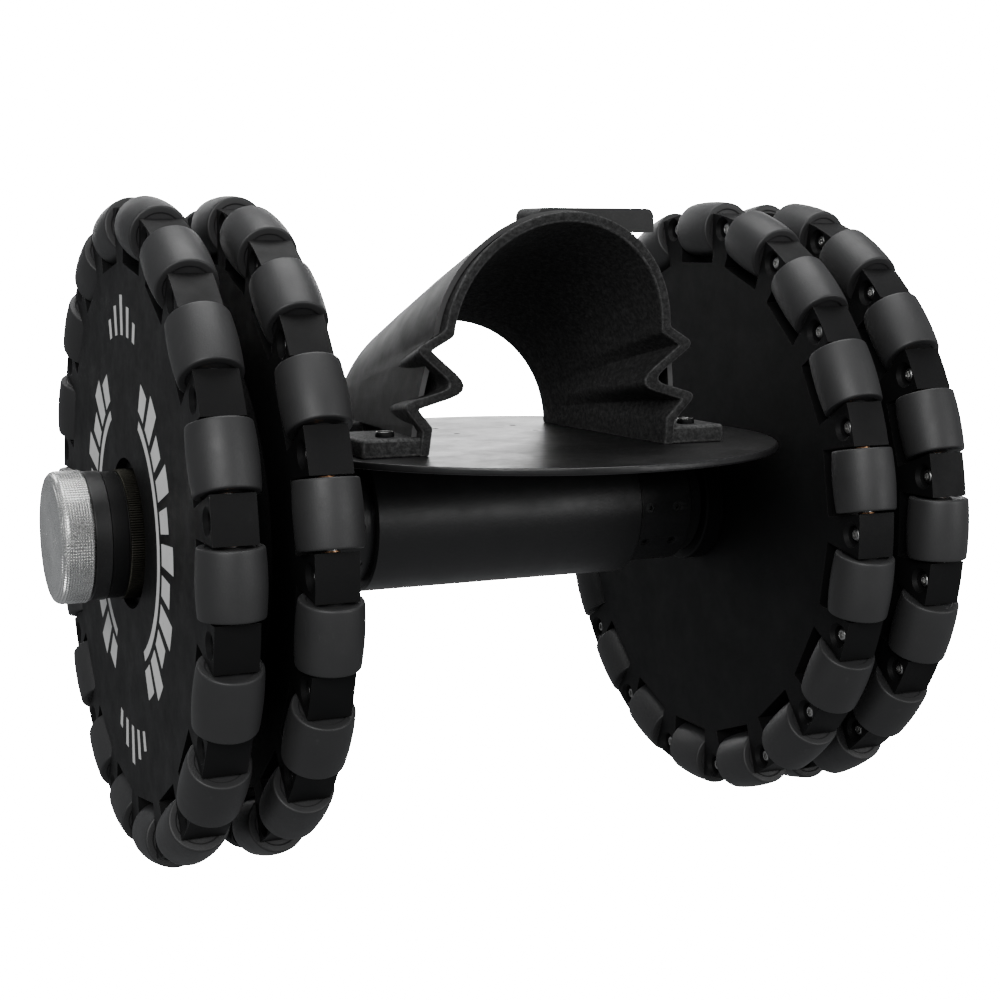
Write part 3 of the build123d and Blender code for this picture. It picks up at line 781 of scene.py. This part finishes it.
def half_line(distance, gap, outer):
    """One side of the saddle's section from the foot up to the crown, its folds rounded."""
    wall, crown = wall_line(distance)
    wall = offset_line(wall, crown, gap)
    radii = [0] + [ROUNDING[i][1 if outer else 0] for i in range(1, len(wall))]
    top = crown + gap
    rise = top - wall[-1].y
    arc = (wall[-1].x ** 2 + rise**2) / (2 * rise)
    centre = top - arc
    start = atan2(wall[-1].y - centre, wall[-1].x)
    turns = [start + (pi / 2 - start) * i / ARCH_STEPS for i in range(1, ARCH_STEPS + 1)]
    curve = [Vector((arc * cos(turn), centre + arc * sin(turn))) for turn in turns]
    line = [tuple(p) for p in wall] + [tuple(curve[0])]
    made = rounded(line, radii + [0], 5, False)[:-1]
    return made + [tuple(p) for p in curve]


def saddle_point(distance, u, v):
    """Places a point of a section, which leans forward at the front and stands upright at the back."""
    tilt = radians(FRONT_TILT * (1 - distance / LENGTH))
    return Vector((SADDLE_X + u, FRONT_Y + distance - v * sin(tilt), DECK_TOP / MM + v * cos(tilt))) * MM


def whole_line(distance, gap, outer):
    half = half_line(distance, gap, outer)
    return half + [(-u, v) for u, v in reversed(half[:-1])]


def fill_liner(work):
    rows = []
    for distance in DISTANCES:
        inner = [work.verts.new(saddle_point(distance, *p)) for p in whole_line(distance, 0, False)]
        outer = [work.verts.new(saddle_point(distance, *p)) for p in whole_line(distance, LINER, True)]
        rows.append((inner, outer))
    for (inner, outer), (inner2, outer2) in zip(rows, rows[1:]):
        for a, b, c, d in zip(inner, inner[1:], inner2[1:], inner2):
            work.faces.new((a, b, c, d))
        for a, b, c, d in zip(outer, outer[1:], outer2[1:], outer2):
            work.faces.new((d, c, b, a))
        for end in (0, -1):
            work.faces.new((inner[end], inner2[end], outer2[end], outer[end]))
    for inner, outer in (rows[0], rows[-1]):
        for a, b, c, d in zip(inner, inner[1:], outer[1:], outer):
            work.faces.new((a, b, c, d))
    bmesh.ops.remove_doubles(work, verts=work.verts, dist=WELD)
    bmesh.ops.dissolve_degenerate(work, edges=work.edges, dist=WELD / 2)


liner = object_of("saddle_liner_moulded", fill_liner)
# The liner's bevels take a painted edge highlight.
round_edges(liner, 0.0005, 2, True)
soften(liner)
finish_piece(liner, "saddle_black", "axle_frame", ["saddle_liner"], PAINTED_EDGE_HIGHLIGHTS["saddle_black"])


def block(work, low_corner, high_corner):
    """An upright box between two corners."""
    made = bmesh.ops.create_cube(work, size=1)["verts"]
    middle = (Vector(low_corner) + Vector(high_corner)) / 2
    size = Vector(high_corner) - Vector(low_corner)
    bmesh.ops.scale(work, vec=size, verts=made)
    bmesh.ops.translate(work, vec=middle, verts=made)


def fill_feet(work):
    for side in (-1, 1):
        for start in (FRONT_Y, FRONT_Y + LENGTH - FOOT_LENGTH):
            near, far = sorted((SADDLE_X + side * FOOT_INSIDE, SADDLE_X + side * FOOT_OUTSIDE))
            low_corner = (near * MM, start * MM, DECK_TOP)
            high_corner = (far * MM, (start + FOOT_LENGTH) * MM, DECK_TOP + FOOT_HEIGHT * MM)
            block(work, low_corner, high_corner)


feet = object_of("saddle_feet", fill_feet)
# The feet's bevels take a painted edge highlight.
round_edges(feet, 0.0009, 3, True)
soften(feet)
finish_piece(feet, "saddle_black", "axle_frame", ["saddle_liner"], PAINTED_EDGE_HIGHLIGHTS["saddle_black"])


SADDLE_SCREW = rounded(
    [
        (0.0, 0.0),
        (0.0, 2.75 * MM),
        (0.9 * MM, 2.75 * MM),
        (1.6 * MM, 2.45 * MM),
        (1.6 * MM, 2.15 * MM),
        (0.85 * MM, 1.9 * MM),
        (0.7 * MM, 1.05 * MM),
        (0.2 * MM, 0.95 * MM),
        (0.2 * MM, 0.0),
    ],
    [0, 0.1 * MM, 0.35 * MM, 0.1 * MM, 0.1 * MM, 0.15 * MM, 0.1 * MM, 0.05 * MM, 0],
    3,
    False,
)


def fill_saddle_screws(work):
    for side in (-1, 1):
        for inset in (SCREW_INSET, LENGTH - SCREW_INSET):
            foot = (
                (SADDLE_X + side * SCREW_OUT) * MM,
                (FRONT_Y + inset) * MM,
                DECK_TOP + FOOT_HEIGHT * MM,
            )
            upright = Matrix.Translation(foot) @ Matrix.Rotation(-pi / 2, 4, "Y")
            lathe(work, SADDLE_SCREW, 48, upright, False)


saddle_screws = object_of("saddle_screw_heads", fill_saddle_screws)
soften(saddle_screws)
screw_slot = SLOTS["saddle_screws"]
finish_piece(saddle_screws, screw_slot, "axle_frame", ["saddle_screws"], MATERIALS["wheel_black"])
# Faces below this height, or not facing up, are painted near-black as shade; only the upward top faces keep
# the screw's metal and light up as a ring.
PAINTED_SHADE_BELOW = DECK_TOP + FOOT_HEIGHT * MM + 1.2 * MM
for face in saddle_screws.data.polygons:
    if face.center.z < PAINTED_SHADE_BELOW or face.normal.z < 0.5:
        face.material_index = 1


# ---------------------------------------------------------------- painted highlight on the shell's front rim
# Faces turned to the front take the shell's lighter second material, as a painted highlight.
for face in NODES["saddle_shell"].data.polygons:
    if face.normal.y < -0.9:
        face.material_index = 1


# ---------------------------------------------------------------- stage and light
def emission_world():
    """White where the camera sees it, and a dim room for everything that it lights."""
    world = bpy.data.worlds.new("studio")
    bpy.context.scene.world = world
    world.use_nodes = True
    nodes = world.node_tree.nodes
    links = world.node_tree.links
    nodes.clear()
    seen = nodes.new("ShaderNodeBackground")
    seen.inputs["Color"].default_value = (1, 1, 1, 1)
    seen.inputs["Strength"].default_value = 30.0
    room = nodes.new("ShaderNodeBackground")
    room.inputs["Color"].default_value = (0.95, 0.97, 1, 1)
    room.inputs["Strength"].default_value = 0.30
    path = nodes.new("ShaderNodeLightPath")
    mix = nodes.new("ShaderNodeMixShader")
    out = nodes.new("ShaderNodeOutputWorld")
    links.new(path.outputs["Is Camera Ray"], mix.inputs[0])
    links.new(room.outputs[0], mix.inputs[1])
    links.new(seen.outputs[0], mix.inputs[2])
    links.new(mix.outputs[0], out.inputs[0])


def soft_light(name, place, aim, size, power):
    data = bpy.data.lights.new(name, "AREA")
    data.shape = "RECTANGLE"
    data.size = size[0]
    data.size_y = size[1]
    data.energy = power
    lamp = bpy.data.objects.new(name, data)
    bpy.context.scene.collection.objects.link(lamp)
    lamp.location = place
    lamp.rotation_euler = (Vector(aim) - Vector(place)).to_track_quat("-Z", "Y").to_euler()


emission_world()
soft_light("key", (-0.9, -1.3, 0.9), (0, 0, 0.1), (1.0, 0.8), 24)
soft_light("fill", (0.9, -1.3, 0.5), (0, 0, 0.1), (0.9, 0.9), 9)
soft_light("top", (0.1, 0.2, 1.5), (0, 0, 0.1), (1.2, 1.2), 22)
soft_light("back", (0.5, 1.6, 0.5), (0, 0, 0.12), (1.6, 0.7), 16)

def fill_floor(work):
    bmesh.ops.create_circle(work, cap_ends=True, radius=6.0, segments=96)


floor = object_of("floor", fill_floor)
floor.location.z = -0.0002
paper = Graph("floor")
paper.shader.inputs["Emission Color"].default_value = (1, 1, 1, 1)
paper.shader.inputs["Emission Strength"].default_value = 29.0
shade = paper.tint(paper.spread(paper.noise(3, 4), 0.3, 0.7), (0.86, 0.86, 0.86), (0.9, 0.9, 0.9))
paper_gloss = paper.spread(paper.noise(9, 4), 0.3, 0.7, 0.8, 0.9)
paper.wire(shade, paper_gloss, paper.bump(paper.noise(500, 4), 0.0002, 0.2))
floor.data.materials.append(paper.material)
floor.visible_diffuse = False
floor.visible_glossy = False
